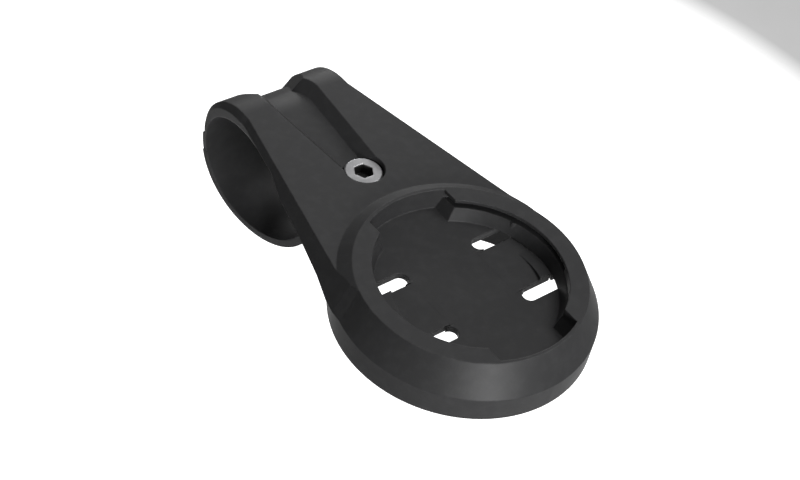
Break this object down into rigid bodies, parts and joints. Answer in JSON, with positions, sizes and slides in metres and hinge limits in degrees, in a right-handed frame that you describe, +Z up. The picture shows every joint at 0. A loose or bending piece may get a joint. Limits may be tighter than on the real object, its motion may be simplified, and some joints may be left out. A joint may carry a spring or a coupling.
{
  "type": "out-front cycling computer mount",
  "caption": "Forward arm with a handlebar ring clamp at one end and a round quarter-turn dock for a cycling computer at the other.",
  "frame": {"origin": "centre of the handlebar bore, on the middle plane of the clamp", "axes": "+X along the handlebar, +Y forward from the handlebar to the dock, +Z up, along the dock's axis"},
  "size_m": [0.0556, 0.1059, 0.0387],
  "materials": {
    "black_nylon": "fine moulded texture, matte",
    "bolt_steel": "satin",
    "nut_steel": "satin"
  },
  "bodies": {
    "arm": {"mount_arm": "black_nylon"},
    "band": {"clamp_band": "black_nylon", "clamp_nut": "nut_steel"},
    "bolt": {"clamp_bolt": "bolt_steel"},
    "tongue_l": {"tongue_left": "black_nylon"},
    "tongue_r": {"tongue_right": "black_nylon"}
  },
  "joints": [
    {"name": "bolt_turn", "type": "hinge", "parent": "arm", "child": "bolt", "pos_m": [0, 0.0246, 0.0159], "axis": [0, 0, 1], "range_deg": [0, 720]},
    {"name": "band_flex", "type": "hinge", "parent": "arm", "child": "band", "pos_m": [0, -0.01628, -0.003], "axis": [-1, 0, 0], "range_deg": [0, 2.24]},
    {"name": "tongue_left_flex", "type": "hinge", "parent": "arm", "child": "tongue_l", "pos_m": [0.0088, 0.0604, 0.01515], "axis": [0, 1, 0], "range_deg": [0, 4], "stiffness_Nm_per_rad": 0.5},
    {"name": "tongue_right_flex", "type": "hinge", "parent": "arm", "child": "tongue_r", "pos_m": [-0.0088, 0.0604, 0.01515], "axis": [0, -1, 0], "range_deg": [0, 4], "stiffness_Nm_per_rad": 0.5}
  ],
  "couplings": [
    {"joint": "bolt_turn", "follows": "band_flex", "ratio": 321}
  ]
}
